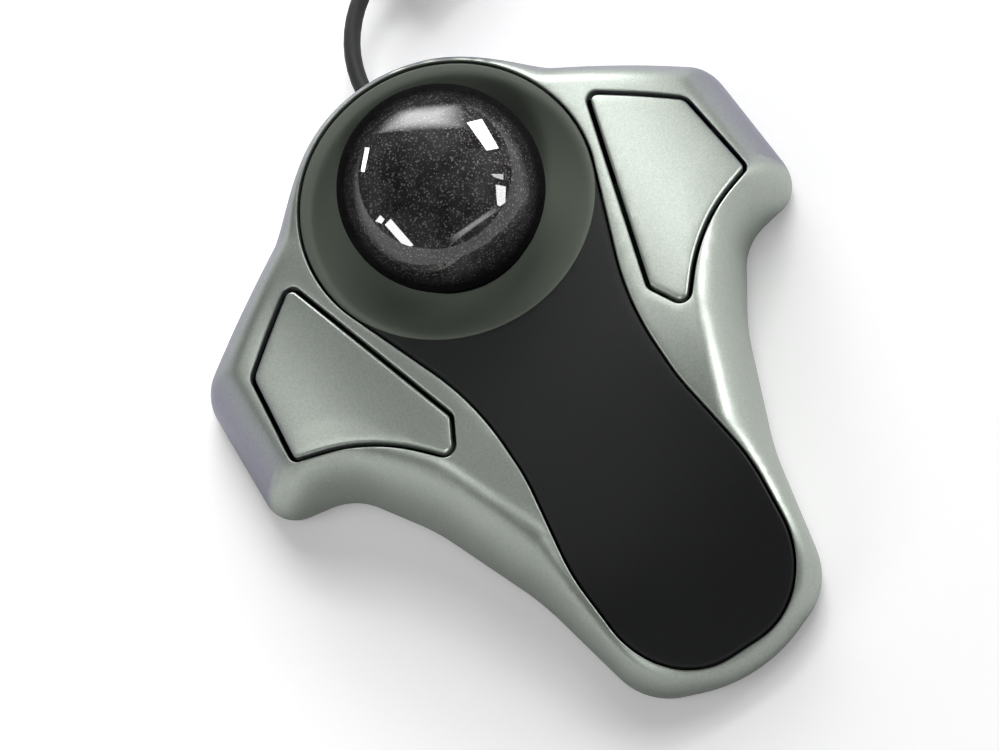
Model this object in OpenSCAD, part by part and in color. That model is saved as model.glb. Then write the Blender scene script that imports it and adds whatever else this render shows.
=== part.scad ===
// Wing-shaped trackball mouse: a silver top shell, a soft-touch centre panel with
// a dish round the ball, two hinged buttons, and the optics, switches, board and
// cable that they need. Millimetres, +Z up, +Y towards the cable.
// Origin: the middle of the foot that stands right under the ball.

/* [Ball] */
// Diameter of the ball
ball_d = 40; // [39:0.5:40.5]
// Height of the ball's centre above the table
ball_z = 35; // [34.5:0.5:36]
// Diameter of the hard balls that carry it
bearing_d = 3; // [2.5:0.5:3]

/* [Body] */
// Width across the wings
body_w = 121; // [120:1:124]
// Height of the palm hump above the table
hump_z = 30.4; // [30:0.2:31]
// Width of the rounded shoulder along the outer edge
shoulder_w = 9; // [8:0.5:10]
// Height of the shell's lower edge above the table
edge_z = 2; // [1.6:0.2:2]
// Wall thickness of the top shell and the buttons
wall = 2.2; // [2:0.1:2.2]
// Thickness of the centre panel
panel_t = 2; // [1.6:0.2:2]
// Radius of the panel where it rings the ball
panel_r = 29.2; // [28.8:0.2:29.4]
// Half of the gap round the panel and round each button
half_gap = 0.45; // [0.3:0.05:0.5]

/* [Base and feet] */
// Height of the underside of the base plate
base_z = 1; // [0.8:0.1:1]
// Thickness of the base plate
base_t = 2; // [1.8:0.1:2]
// Diameter of the rubber feet
foot_d = 9; // [8:0.5:10]

/* [Buttons] */
// Height of the hinge axis
hinge_z = 20.5; // [20.2:0.1:20.6]
// Diameter of the hinge trunnions
trunnion_d = 3; // [2.6:0.2:3]

/* [Cable] */
// Diameter of the cable
cable_d = 3.5; // [3:0.1:3.6]
// Height of the cable where it leaves the body
cable_z = 9; // [8.8:0.1:9.2]
// Radius of the cable's bend behind the body
cable_bend = 26; // [24:1:36]

/* [Hidden] */

$fn = 64;
fit = 0.05;              // running clearance, and the air left between seated parts
arc_step = 3;            // longest chord on a long arc
arc_turn = 18;           // largest turn between two chords, degrees
ray_step = 4;            // spacing of the shell's cross-sections along its outline

ball_r = ball_d / 2;
wing_x = body_w / 2;
board_z = 5;             // underside of the circuit board
board_t = 1.6;
chip_z = board_z + board_t + fit;
base_top = base_z + base_t;
screw_r = 1.1;
pilot_r = screw_r + fit;
head_r = 2.3;
head_h = 1.5;
boss_r = 2.6;
pad_t = 1.6;             // raised pad round each case screw
boss_z = base_top + pad_t + 2 * fit;

// ---- the crown: the smooth surface that the shell, panel and buttons share

hump_y = -38;            // the palm hump is highest here
rear_drop = 1.8;         // fall from the hump to the rear
rear_run = 67;
tail_drop = 19;          // fall from the hump to the tail
tail_run = 62;
tail_power = 2.3;
wing_run = 29;           // the wings have fallen 1 mm at this distance from the middle
wing_power = 3.6;

function ridge(y) = y > hump_y
    ? hump_z - rear_drop * pow((y - hump_y) / rear_run, 2)
    : hump_z - tail_drop * pow((hump_y - y) / tail_run, tail_power);
function crown(p) = ridge(p.y) - pow(abs(p.x) / wing_run, wing_power);

// ---- outlines: lists of [x, y, corner radius], clockwise from above

wing_rear_y = 2.4;
wing_front_y = -28.4;
rear_r = 34;             // radius of the body behind the ball
body_half = [[0, 43, rear_r], [31.5, 18.8, 40], [wing_x, wing_rear_y, 7],
    [wing_x + 1, wing_front_y, 7], [46, -31.2, 12], [36.3, -46.5, 40], [26.8, -70.5, 60],
    [21, -98.5, 13.5], [0, -106.8, 30]];
ring_turn = 20;          // the panel leaves its ring this far in front of the ball's middle
ring_tip = panel_r * sqrt(2);
ring_out = (ring_tip - panel_r / cos(ring_turn)) / (1 + tan(ring_turn));
panel_waist = 17.1;
panel_half = [[0, ring_tip, panel_r], [ring_tip - ring_out, ring_out, panel_r],
    [panel_waist, (panel_waist * cos(ring_turn) - panel_r) / sin(ring_turn), 60],
    [panel_waist - 0.1, -56, 45], [20, -75.5, 40], [18, -101.6, 16]];
button_inner_front = [22.2, -38];
button_inner_rear = [34.3, 3.8];
button_corners = [[button_inner_rear.x, button_inner_rear.y, 1.8], [50.2, -6.6, 2.5],
    [52.1, -25.3, 1.8], [36.8, -32.7, 46], [26.2, -45.6, 2],
    [button_inner_front.x, button_inner_front.y, 2]];

function flat(p) = [p.x, p.y];
function unit(v) = v / norm(v);
function left_of(v) = [-v.y, v.x];
function turned(v, a) = [v.x * cos(a) - v.y * sin(a), v.x * sin(a) + v.y * cos(a)];
function lifted(p, z) = [p.x, p.y, z];

// A half outline with its mirror image, from the rear round to the rear again
function both_sides(half) = concat(half,
    [for (i = [len(half) - 1 : -1 : 0]) if (half[i].x > 0) [-half[i].x, half[i].y, half[i].z]]);

// Corners moved outwards by g, with their radii changed to match
function grown(c, g) = [for (i = [0 : len(c) - 1])
    let (p = flat(c[i]),
        before = unit(p - flat(c[(i + len(c) - 1) % len(c)])),
        after = unit(flat(c[(i + 1) % len(c)]) - p),
        n1 = left_of(before),
        n2 = left_of(after),
        q = p + (n1 + n2) * g / (1 + n1 * n2))
    [q.x, q.y, c[i].z + (cross(before, after) < 0 ? g : -g)]];

// One rounded corner as points on its arc
function corner_arc(a, p, b, r) =
    let (u = unit(a - p),
        v = unit(b - p),
        half = acos(u * v) / 2,
        centre = p + unit(u + v) * r / sin(half),
        start = p + u * r / tan(half) - centre,
        sweep = (cross(u, v) > 0 ? -1 : 1) * (180 - 2 * half),
        n = ceil(max(abs(sweep) / arc_turn, abs(sweep) * r * PI / 180 / arc_step)))
    [for (k = [0 : n]) centre + turned(start, sweep * k / n)];

function rounded(c) = [for (i = [0 : len(c) - 1])
    each corner_arc(flat(c[(i + len(c) - 1) % len(c)]), flat(c[i]),
        flat(c[(i + 1) % len(c)]), c[i].z)];

// A closed outline with points added so that none are further apart than step
function filled(poly, step) = [for (i = [0 : len(poly) - 1])
    let (a = poly[i],
        b = poly[(i + 1) % len(poly)],
        n = ceil(norm(b - a) / step))
    for (k = [0 : n - 1]) a + (b - a) * k / n];

// Distance from a point to an outline
function edge_distance(p, a, e) = norm(a + e * max(0, min(1, (p - a) * e / (e * e))) - p);
function distance(p, poly) = min([for (i = [0 : len(poly) - 1])
    let (a = poly[i], e = poly[(i + 1) % len(poly)] - a)
    if (norm(e) > 0.001) edge_distance(p, a, e)]);

// Distance along a ray from c in direction d to the furthest crossing of an outline
function ray_length(c, d, poly) = max([for (i = [0 : len(poly) - 1])
    let (a = poly[i] - c,
        e = poly[(i + 1) % len(poly)] - poly[i],
        side = cross(d, e))
    if (abs(side) > 0.000001 && cross(a, d) / side >= -0.000001 && cross(a, d) / side <= 1.000001)
        cross(a, e) / side]);

body_outline = rounded(both_sides(body_half));
lining_outline = rounded(grown(both_sides(body_half), -wall));
base_outline = rounded(grown(both_sides(body_half), -wall - 0.3));
panel_outline = rounded(grown(both_sides(panel_half), -half_gap + 0.2));
opening_outline = rounded(grown(both_sides(panel_half), half_gap - 0.2));

// ---- the skin: the crown, rolled down over the shoulder to the lower edge

function roll(t) = sqrt(1 - pow(1 - min(1, t), 2));
function skin(p) =
    let (out = distance(p, body_outline),
        shoulder = min(shoulder_w, out + distance(p, opening_outline)))
    edge_z + (crown(p) - edge_z) * roll(out / shoulder);
function lining(p) =
    let (out = distance(p, lining_outline),
        shoulder = min(shoulder_w - wall, out + distance(p, opening_outline)))
    edge_z + (crown(p) - wall - edge_z) * roll(out / shoulder);

// A closed band: one loop of points for each cross-section, joined all the way round
module band(loops) {
    n = len(loops);
    m = len(loops[0]);
    polyhedron(points = [for (l = loops) each l],
        faces = [for (i = [0 : n - 1], k = [0 : m - 1])
            let (j = (i + 1) % n, l = (k + 1) % m)
            each [[i * m + k, i * m + l, j * m + l], [i * m + k, j * m + l, j * m + k]]]);
}

// A closed solid: rings of points joined one to the next, with a point closing each end
module capped(rings, first, last) {
    n = len(rings);
    m = len(rings[0]);
    polyhedron(points = concat([for (r = rings) each r], [first, last]),
        faces = concat(
            [for (i = [0 : n - 2], k = [0 : m - 1])
                let (l = (k + 1) % m)
                each [[i * m + k, i * m + m + k, i * m + m + l], [i * m + k, i * m + m + l, i * m + l]]],
            [for (k = [0 : m - 1]) [n * m, k, (k + 1) % m]],
            [for (k = [0 : m - 1]) [n * m + 1, (n - 1) * m + (k + 1) % m, (n - 1) * m + k]]));
}

module box(x, y, z, size) {
    translate([x - size.x / 2, y - size.y / 2, z]) cube(size);
}

module on_both_sides() {
    children();
    mirror([1, 0, 0]) children();
}

// ---- screw places

wing_screw = [54.5, -12];
rear_screw = 27.8 * [cos(60), sin(60)];
panel_screw_front = [0, -50];
panel_screw_tail = [0, -86];
board_screw = [37, -16];
cup_screw_r = 24;
cup_screw_angles = [30, 150, 270];
rear_boss_top = 18;
wing_boss_top = 13.2;

// A pan-head screw that points up, with its head's underside at the origin
module screw(length) {
    difference() {
        union() {
            translate([0, 0, -head_h]) cylinder(r = head_r, h = head_h);
            cylinder(r = screw_r, h = length);
        }
        for (a = [0, 90]) rotate(a) box(0, 0, -head_h - 1, [2.6, 0.7, 1.8]);
    }
}

module boss(p, bottom, top) {
    translate(lifted(p, bottom)) difference() {
        cylinder(r = boss_r, h = top - bottom);
        translate([0, 0, -1]) cylinder(r = pilot_r, h = 9);
    }
}

// ---- hinge places: each button turns about a line just inside its inner side

hinge_dir = unit(button_inner_rear - button_inner_front);
hinge_inset = 3.4;
hinge_start = button_inner_front - left_of(hinge_dir) * hinge_inset;
hinge_tilt = atan2(hinge_dir.y, hinge_dir.x);
lug_t = 3;
front_lug = 1.8;         // places along the hinge line, from its start
rear_lug = 39.5;
front_bracket = -7.5;
rear_bracket = 46;
front_bracket_top = 28.6;
rear_bracket_top = 23.2;
trunnion_r = trunnion_d / 2;
switch_at = [46, -16];
switch_size = [5.8, 12.8, 6.5];
plunger_r = 0.8;
plunger_top = chip_z + switch_size.z + 0.7;
stem_r = 2.2;

// A frame on the hinge line: X along the line, Z up
module on_hinge(along) {
    translate(lifted(hinge_start + hinge_dir * along, hinge_z)) rotate(hinge_tilt) children();
}

// ---- silver top shell

ray_centre = [0, -20];
outer_rows = 11;
inner_rows = 6;
function spread(j, n) = 1 - pow(1 - j / n, 2);

module shell_skin() {
    band([for (q = filled(body_outline, ray_step))
        let (d = unit(q - ray_centre),
            hole = ray_centre + d * ray_length(ray_centre, d, opening_outline),
            rim = ray_centre + d * ray_length(ray_centre, d, lining_outline))
        concat(
            [for (j = [0 : outer_rows])
                let (p = hole + (q - hole) * spread(j, outer_rows))
                lifted(p, j == outer_rows ? edge_z : skin(p))],
            [for (j = [inner_rows : -1 : 0])
                let (p = hole + (rim - hole) * spread(j, inner_rows))
                lifted(p, j == inner_rows ? edge_z : lining(p))])]);
}

module hinge_bracket(along, top) {
    low = 2.6;
    on_hinge(along) difference() {
        translate([-lug_t / 2, -2.6, -low]) cube([lug_t, 5.2, top - hinge_z + low]);
        rotate([0, 90, 0]) cylinder(r = trunnion_r + fit, h = lug_t + 2, center = true);
    }
}

module top_shell() {
    gusset_h = 10;
    color("silver") union() {
        difference() {
            shell_skin();
            on_both_sides() linear_extrude(2 * hump_z)
                polygon(rounded(grown(button_corners, half_gap)));
            translate([0, rear_r, cable_z]) rotate([90, 0, 0])
                cylinder(r = cable_d / 2 + 1.3, h = 8, center = true);
        }
        on_both_sides() {
            hinge_bracket(front_bracket, front_bracket_top);
            hinge_bracket(rear_bracket, rear_bracket_top);
            boss(wing_screw, boss_z, wing_boss_top);
            boss(rear_screw, boss_z, rear_boss_top);
            translate(lifted(rear_screw * 1.075, rear_boss_top - gusset_h)) rotate(60)
                translate([0, -1, 0]) cube([3.2, 2, gusset_h]);
        }
    }
}

// ---- charcoal centre panel with its dish

hole_r = 16.8;           // round the ball, at the bottom of the dish
hole_z = 22.6;
dish_r = 27.4;
dish_centre = [0, -1.4];
dish_power = 1.6;
dish_rows = 4;
panel_rows = 6;

function dish_edge(d) = let (along = d * dish_centre)
    d * (along + sqrt(along * along - dish_centre * dish_centre + dish_r * dish_r));
function dish(p, edge) = hole_z + (crown(edge) - hole_z)
    * pow(max(0, norm(p) - hole_r) / (norm(edge) - hole_r), dish_power);

module panel_skin() {
    band([for (q = filled(panel_outline, ray_step))
        let (d = unit(q),
            edge = dish_edge(d),
            bowl = [for (j = [0 : dish_rows])
                let (p = d * (hole_r + (norm(edge) - hole_r) * j / dish_rows))
                lifted(p, dish(p, edge))],
            top = [for (j = [1 : panel_rows])
                let (p = edge + (q - edge) * j / panel_rows)
                lifted(p, crown(p))],
            face = concat(bowl, top))
        concat(face, [for (j = [len(face) - 1 : -1 : 0]) face[j] - [0, 0, panel_t]])]);
}

module centre_panel() {
    bosses = [panel_screw_front, panel_screw_tail];
    color([0.15, 0.16, 0.15]) union() {
        panel_skin();
        for (p = bosses) boss(p, boss_z, crown(p - [0, boss_r]) - panel_t / 2);
    }
}

// ---- ball, its cup and its bearings

module ball() {
    color([0.13, 0.13, 0.14]) translate([0, 0, ball_z]) sphere(r = ball_r);
}

cup_r = 18.5;
cup_bottom = 11.8;
cup_top = 20.2;
cup_gap = 0.8;
bearing_tilt = 38;       // from straight down
bearing_r = bearing_d / 2;
bearing_angles = [90, 210, 330];
window_r = 4.6;
lug_z = 14;
cup_lug_r = 3.4;

module towards_bearing(a) {
    translate([0, 0, ball_z]) rotate([0, 180 - bearing_tilt, a]) children();
}

module ball_cup() {
    lug_h = 3;
    color([0.1, 0.1, 0.1]) difference() {
        union() {
            translate([0, 0, cup_bottom]) cylinder(r = cup_r, h = cup_top - cup_bottom);
            for (a = cup_screw_angles) rotate(a) {
                translate([cup_screw_r, 0, lug_z]) cylinder(r = cup_lug_r, h = lug_h);
                translate([cup_r - 2, -2.5, lug_z]) cube([cup_screw_r - cup_r + 2, 5, lug_h]);
            }
        }
        translate([0, 0, ball_z]) sphere(r = ball_r + cup_gap);
        translate([0, 0, cup_bottom - 1]) cylinder(r = window_r, h = 10);
        for (a = bearing_angles) towards_bearing(a)
            translate([0, 0, ball_r]) cylinder(r = bearing_r + fit, h = bearing_d + 2 * fit);
        for (a = cup_screw_angles) rotate(a)
            translate([cup_screw_r, 0, lug_z - 1]) cylinder(r = screw_r + 0.2, h = lug_h + 2);
    }
}

module support_bearings() {
    color("gainsboro") for (a = bearing_angles) towards_bearing(a)
        translate([0, 0, ball_r + bearing_r + fit / 2]) sphere(r = bearing_r);
}

module cup_screws() {
    color("dimgray") for (a = cup_screw_angles) rotate(a)
        translate([cup_screw_r, 0, lug_z + 3 + fit]) rotate([180, 0, 0]) screw(8);
}

// ---- buttons

button_rings = 4;

module button_cap() {
    outline = filled(rounded(grown(button_corners, -half_gap)), ray_step);
    middle = [39.5, -20];
    edge_drop = 0.3;
    face = [for (j = [1 : button_rings]) [for (q = outline)
        let (p = middle + (q - middle) * spread(j, button_rings))
        lifted(p, skin(p) - (j == button_rings ? edge_drop : 0))]];
    under = [for (j = [button_rings : -1 : 1]) [for (q = outline)
        let (p = middle + (q - middle) * spread(j, button_rings))
        lifted(p, skin(p) - wall)]];
    capped(concat(face, under), lifted(middle, skin(middle)), lifted(middle, skin(middle) - wall));
}

module hinge_lug(along) {
    top = skin(hinge_start + hinge_dir * along) - wall + 1 - hinge_z;
    on_hinge(along) translate([-lug_t / 2, -2.4, -2.3]) cube([lug_t, 4.8, top + 2.3]);
}

module trunnion(from, to) {
    on_hinge(from) rotate([0, 90, 0]) cylinder(r = trunnion_r, h = to - from);
}

module button() {
    stem_z = plunger_top + fit;
    color("silver") union() {
        button_cap();
        hinge_lug(front_lug);
        hinge_lug(rear_lug);
        trunnion(front_bracket - lug_t / 2, front_lug);
        trunnion(rear_lug, rear_bracket + lug_t / 2);
        translate(lifted(switch_at, stem_z))
            cylinder(r = stem_r, h = skin(switch_at) - wall + 0.8 - stem_z);
    }
}

module right_button() {
    button();
}

module left_button() {
    mirror([1, 0, 0]) button();
}

// ---- base, feet and screws

foot_t = base_z + 0.4;
feet_at = [[0, 0], [22, 12], [-22, 12], [46, -17], [-46, -17], [0, -95]];

module base() {
    pads = [panel_screw_front, panel_screw_tail];
    color([0.12, 0.12, 0.12]) difference() {
        union() {
            translate([0, 0, base_z]) linear_extrude(base_t) polygon(base_outline);
            for (p = pads) translate(lifted(p, base_z)) cylinder(r = 3.4, h = base_t + pad_t);
            on_both_sides() for (p = [wing_screw, rear_screw])
                translate(lifted(p, base_z)) cylinder(r = 3.4, h = base_t + pad_t);
            on_both_sides() translate(lifted(board_screw, base_z))
                cylinder(r = 2.6, h = board_z - base_z - fit);
            for (a = cup_screw_angles) rotate(a)
                translate([cup_screw_r, 0, base_z]) cylinder(r = 3, h = lug_z - base_z - fit);
        }
        for (p = pads) screw_hole(p);
        on_both_sides() for (p = [wing_screw, rear_screw]) screw_hole(p);
        on_both_sides() translate(lifted(board_screw, base_z + 0.8)) cylinder(r = pilot_r, h = 10);
        for (a = cup_screw_angles) rotate(a)
            translate([cup_screw_r, 0, lug_z - 9]) cylinder(r = pilot_r, h = 10);
        for (p = feet_at) translate(lifted(p, 0)) cylinder(r = foot_d / 2 + fit, h = foot_t + fit);
    }
}

module screw_hole(p) {
    translate(lifted(p, 0)) cylinder(r = head_r + 0.3, h = base_z + head_h + 0.3);
    translate(lifted(p, 0)) cylinder(r = screw_r + 0.25, h = 10);
}

module feet() {
    bevel = 0.3;
    color([0.08, 0.08, 0.08]) for (p = feet_at) translate(lifted(p, 0)) {
        cylinder(r1 = foot_d / 2 - bevel, r2 = foot_d / 2, h = bevel);
        translate([0, 0, bevel]) cylinder(r = foot_d / 2, h = foot_t - bevel);
    }
}

module case_screws() {
    color("gray") on_both_sides() for (p = [wing_screw, rear_screw])
        translate(lifted(p, base_z + head_h + 0.3 - fit)) screw(8);
}

module panel_screws() {
    color("gray") for (p = [panel_screw_front, panel_screw_tail])
        translate(lifted(p, base_z + head_h + 0.3 - fit)) screw(8);
}

// ---- circuit board and what sits on it

board_front = -30;
board_rear = 15;
board_half_w = 26;
board_arm_x = 51;
board_arm_w = 18;

module circuit_board() {
    color("darkgreen") translate([0, 0, board_z]) difference() {
        union() {
            translate([-board_half_w, board_front, 0])
                cube([2 * board_half_w, board_rear - board_front, board_t]);
            box(0, board_screw.y, 0, [2 * board_arm_x, board_arm_w, board_t]);
        }
        for (a = cup_screw_angles) rotate(a)
            translate([cup_screw_r, 0, -1]) cylinder(r = 3.4, h = 4);
        on_both_sides() translate(lifted(board_screw, -1)) cylinder(r = screw_r + 0.2, h = 4);
    }
}

module board_screws() {
    color("gray") on_both_sides() translate(lifted(board_screw, chip_z))
        rotate([180, 0, 0]) screw(4.5);
}

sensor_h = 2.2;
lens_z = chip_z + sensor_h + fit;

module motion_sensor() {
    color([0.1, 0.1, 0.1]) difference() {
        box(0, 0, chip_z, [9, 12, sensor_h]);
        translate([0, 0, chip_z + sensor_h - 0.5]) cylinder(r = 1.4, h = 1);
    }
}

module sensor_lens() {
    flange_h = 0.9;
    color([0.85, 0.9, 0.95]) {
        translate([0, 0, lens_z]) cylinder(r = 6.5, h = flange_h);
        translate([0, 0, lens_z + flange_h]) cylinder(r1 = 4, r2 = 3, h = 1.6);
    }
}

diode_r = 1.5;
diode_z = 9.3;
holder_y = -12;
holder_l = 4.5;

module light_diode() {
    body_l = 6;
    start = holder_y - 4;
    color("red") translate([0, start, diode_z]) rotate([-90, 0, 0]) {
        cylinder(r = diode_r, h = body_l);
        translate([0, 0, body_l]) sphere(r = diode_r);
        translate([0, 0, -0.8]) cylinder(r = diode_r + 0.4, h = 0.8);
    }
}

module diode_holder() {
    color("black") difference() {
        box(0, holder_y, chip_z, [7, holder_l, 4.8]);
        translate([0, holder_y, diode_z]) rotate([90, 0, 0])
            cylinder(r = diode_r + fit, h = holder_l + 2, center = true);
    }
}

module controller_chip() {
    color([0.1, 0.1, 0.1]) difference() {
        box(-27, -17, chip_z, [7.5, 11.5, 2.4]);
        translate([-29, -12.5, chip_z + 2.1]) cylinder(r = 0.6, h = 1);
    }
}

module resonator() {
    color("orange") box(-12, -25, chip_z, [7, 3, 5.5]);
}

module capacitor() {
    color("navy") translate([13, -25, chip_z]) {
        cylinder(r = 2.5, h = 6.5);
        translate([0, 0, 6.5]) cylinder(r = 2.1, h = 0.4);
    }
}

// ---- microswitches

module switch() {
    stroke = 0.8;
    color([0.15, 0.15, 0.16]) difference() {
        box(switch_at.x, switch_at.y, chip_z, switch_size);
        translate(lifted(switch_at, plunger_top - plunger_l - stroke))
            cylinder(r = plunger_r + fit, h = 10);
    }
}

plunger_l = 3.3;

module plunger() {
    color("white") translate(lifted(switch_at, plunger_top - plunger_l))
        cylinder(r = plunger_r, h = plunger_l);
}

module right_switch() {
    switch();
}

module left_switch() {
    mirror([1, 0, 0]) switch();
}

module right_plunger() {
    plunger();
}

module left_plunger() {
    mirror([1, 0, 0]) plunger();
}

// ---- cable, from its plug on the board to its far end

header_y = 10.3;
header_l = 6;
plug_l = 4;
cable_r = cable_d / 2;
cable_start = header_y + header_l / 2 + plug_l + fit;
bend_start = rear_r + 2;
bend_angle = 78;
usb_grip = 20;           // length of the moulded grip
usb_shell = [12, 12, 4.5];

module cable_header() {
    color("ivory") difference() {
        box(0, header_y, chip_z, [11, header_l, 4.6]);
        translate([-4.5, header_y - 1, chip_z + 0.9]) cube([9, 10, 2.9]);
    }
}

module cable_plug() {
    color("white") difference() {
        union() {
            box(0, header_y + header_l / 2 + plug_l / 2 - 1, chip_z + 1, [8.8, plug_l + 2, 2.7]);
            translate([0, header_y + header_l / 2 + plug_l - 1.5, cable_z]) rotate([-90, 0, 0])
                cylinder(r = cable_r + 0.4, h = 1.5);
        }
        translate([0, header_y + header_l / 2 + 1, cable_z]) rotate([-90, 0, 0])
            cylinder(r = 0.6, h = plug_l);
    }
}

// The frame at the far end of the bend, with Y along the cable
module at_far_end() {
    translate([cable_bend, bend_start, cable_z]) rotate(-bend_angle)
        translate([-cable_bend, 0, 0]) children();
}

// The cable's middle line: [place, direction] pairs, straight back and then round the bend
cable_line = concat([[[0, cable_start], [0, 1]]],
    [for (a = [0 : bend_angle / 13 : bend_angle + 1])
        [[cable_bend * (1 - cos(a)), bend_start + cable_bend * sin(a)], [sin(a), cos(a)]]]);

module cable() {
    sides = 24;
    color([0.2, 0.2, 0.2]) capped(
        [for (s = cable_line)
            [for (k = [0 : sides - 1])
                let (a = 360 * k / sides)
                lifted(s[0] - left_of(s[1]) * cable_r * cos(a), cable_z - cable_r * sin(a))]],
        lifted(cable_line[0][0], cable_z),
        lifted(cable_line[len(cable_line) - 1][0], cable_z));
}

module strain_relief() {
    boot_r = cable_r + 1.2;
    inside = 4;
    outside = 3.2;
    color([0.15, 0.15, 0.15]) translate([0, rear_r, cable_z]) rotate([-90, 0, 0]) difference() {
        union() {
            translate([0, 0, -inside]) cylinder(r = boot_r, h = inside + 0.2);
            translate([0, 0, -inside]) cylinder(r = boot_r + 1.4, h = 1.4);
            translate([0, 0, 0.2]) cylinder(r1 = boot_r, r2 = cable_r + 0.7, h = outside - 1.4);
        }
        translate([0, 0, -inside - 1]) cylinder(r = cable_r + fit, h = inside + outside + 2);
    }
}

module usb_plug_body() {
    grip = [15.5, usb_grip, 7.6];
    color([0.12, 0.12, 0.12]) at_far_end() difference() {
        translate([0, fit, 0]) translate([-grip.x / 2, 0, -grip.z / 2]) cube(grip);
        translate([-usb_shell.x / 2 - fit, usb_grip - 4, -usb_shell.z / 2 - fit])
            cube([usb_shell.x + 2 * fit, 10, usb_shell.z + 2 * fit]);
    }
}

module usb_plug_shell() {
    skin_t = 0.4;
    color("lightgray") at_far_end() translate([0, usb_grip - 3.9, 0]) difference() {
        translate([-usb_shell.x / 2, 0, -usb_shell.z / 2])
            cube([usb_shell.x, usb_shell.y + 3.9, usb_shell.z]);
        translate([-usb_shell.x / 2 + skin_t, skin_t, -usb_shell.z / 2 + skin_t])
            cube([usb_shell.x - 2 * skin_t, 30, usb_shell.z - 2 * skin_t]);
        for (x = [-3, 3]) translate([x - 1, 10, 0]) cube([2, 2.4, 10]);
    }
}

module usb_plug_tongue() {
    color("white") at_far_end()
        translate([-5.4, usb_grip - 3.3, -usb_shell.z / 2 + 0.5]) cube([10.8, 14.6, 1.9]);
}

top_shell();
centre_panel();
ball();
left_button();
right_button();
base();
feet();
case_screws();
panel_screws();
ball_cup();
support_bearings();
cup_screws();
circuit_board();
board_screws();
motion_sensor();
sensor_lens();
light_diode();
diode_holder();
controller_chip();
resonator();
capacitor();
left_switch();
right_switch();
left_plunger();
right_plunger();
cable_header();
cable_plug();
cable();
strain_relief();
usb_plug_body();
usb_plug_shell();
usb_plug_tongue();
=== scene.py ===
"""Photographic model of the wing-shaped trackball mouse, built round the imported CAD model.

The smooth outer pieces are made here from the same outlines and heights as the CAD nodes
they stand for. The parts inside keep their CAD meshes and get procedural finishes.
Lengths are in millimetres until an object is made, which turns them into metres.
"""

import math

import bmesh
import bpy
import numpy as np
from mathutils import Matrix, Vector
from mathutils.geometry import delaunay_2d_cdt

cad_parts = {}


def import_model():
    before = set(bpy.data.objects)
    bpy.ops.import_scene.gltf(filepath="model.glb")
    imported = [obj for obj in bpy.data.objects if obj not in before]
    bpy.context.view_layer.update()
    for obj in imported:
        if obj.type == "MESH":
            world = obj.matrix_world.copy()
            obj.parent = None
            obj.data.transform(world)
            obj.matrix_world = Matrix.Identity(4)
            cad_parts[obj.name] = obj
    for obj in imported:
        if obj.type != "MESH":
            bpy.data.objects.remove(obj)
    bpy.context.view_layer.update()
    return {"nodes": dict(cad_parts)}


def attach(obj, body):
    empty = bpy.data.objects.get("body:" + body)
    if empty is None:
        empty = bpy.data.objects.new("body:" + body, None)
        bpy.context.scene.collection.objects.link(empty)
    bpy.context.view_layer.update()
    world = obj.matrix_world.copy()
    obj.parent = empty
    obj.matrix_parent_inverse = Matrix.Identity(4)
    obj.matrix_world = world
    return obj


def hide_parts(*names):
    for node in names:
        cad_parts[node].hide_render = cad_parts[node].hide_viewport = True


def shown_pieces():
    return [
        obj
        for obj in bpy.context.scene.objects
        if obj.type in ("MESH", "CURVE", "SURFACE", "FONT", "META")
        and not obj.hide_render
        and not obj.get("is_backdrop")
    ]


MM = 0.001

# ---- driving sizes, as in the CAD

BALL_R = 20
BALL_Z = 35              # the ball's centre
WING_X = 60.5            # half the width at the wings' rear corners
HUMP_Z = 30.4            # the palm hump's height
HUMP_Y = -38             # the palm hump is highest here
REAR_DROP = 1.8          # fall from the hump to the rear
REAR_RUN = 67
TAIL_DROP = 19           # fall from the hump to the tail
TAIL_RUN = 62
TAIL_POWER = 2.3
WING_RUN = 29            # the wings have fallen 1 mm at this distance from the middle
WING_POWER = 3.6
SHOULDER_W = 9           # width of the rolled shoulder
EDGE_Z = 2               # the shell's lower edge
WALL = 2.2
PANEL_T = 2
PANEL_R = 29.2           # radius of the panel's ring round the dish
HALF_GAP = 0.45          # half the gap round a button
PANEL_HALF_GAP = 0.25
HOLE_R = 16.8            # the ball's opening in the dish
HOLE_Z = 22.6
DISH_R = 27.4
DISH_Y = -1.4
DISH_POWER = 1.6
LIT_DISH_R = 29.1           # the painted light on the dish reaches the panel's ring
LIT_DISH_Y = 0.2
REAR_R = 34              # radius of the body behind the ball
CABLE_Z = 9
HINGE_Z = 20.5
HINGE_INSET = 3.4        # from a button's inner side to its hinge line
SWITCH_AT = np.array([46.0, -16.0])

FLOOR_GLOW = 0.26        # lifts the floor to white for the camera alone
CARD_FAR = 1.6           # metres from the ball to the cards that it mirrors
SOFTBOX_FAR = 1.7
BODY_CARD_FAR = 1.8
GRID = 1.3               # spacing of the points inside a filled surface
SHELL_LIP = 0.35         # roundings along the edges
PANEL_LIP = 0.5
CAP_LIP = 0.6
PIN_R = 0.001            # a ring this small closes a tube on its axis

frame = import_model()
nodes = frame["nodes"]

# ---- outlines: rows of x, y, corner radius, clockwise from above


def both_sides(half):
    """A half outline with its mirror image."""
    mirrored = [[-x, y, r] for x, y, r in reversed(half) if x > 0]
    return np.array(half + mirrored, float)


BODY = both_sides([
    [0, 43, REAR_R], [31.5, 18.8, 40], [WING_X, 2.4, 7],
    [WING_X + 1, -28.4, 7], [46, -31.2, 12], [36.3, -46.5, 40], [26.8, -70.5, 60],
    [21, -98.5, 13.5], [0, -106.8, 30]])

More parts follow.
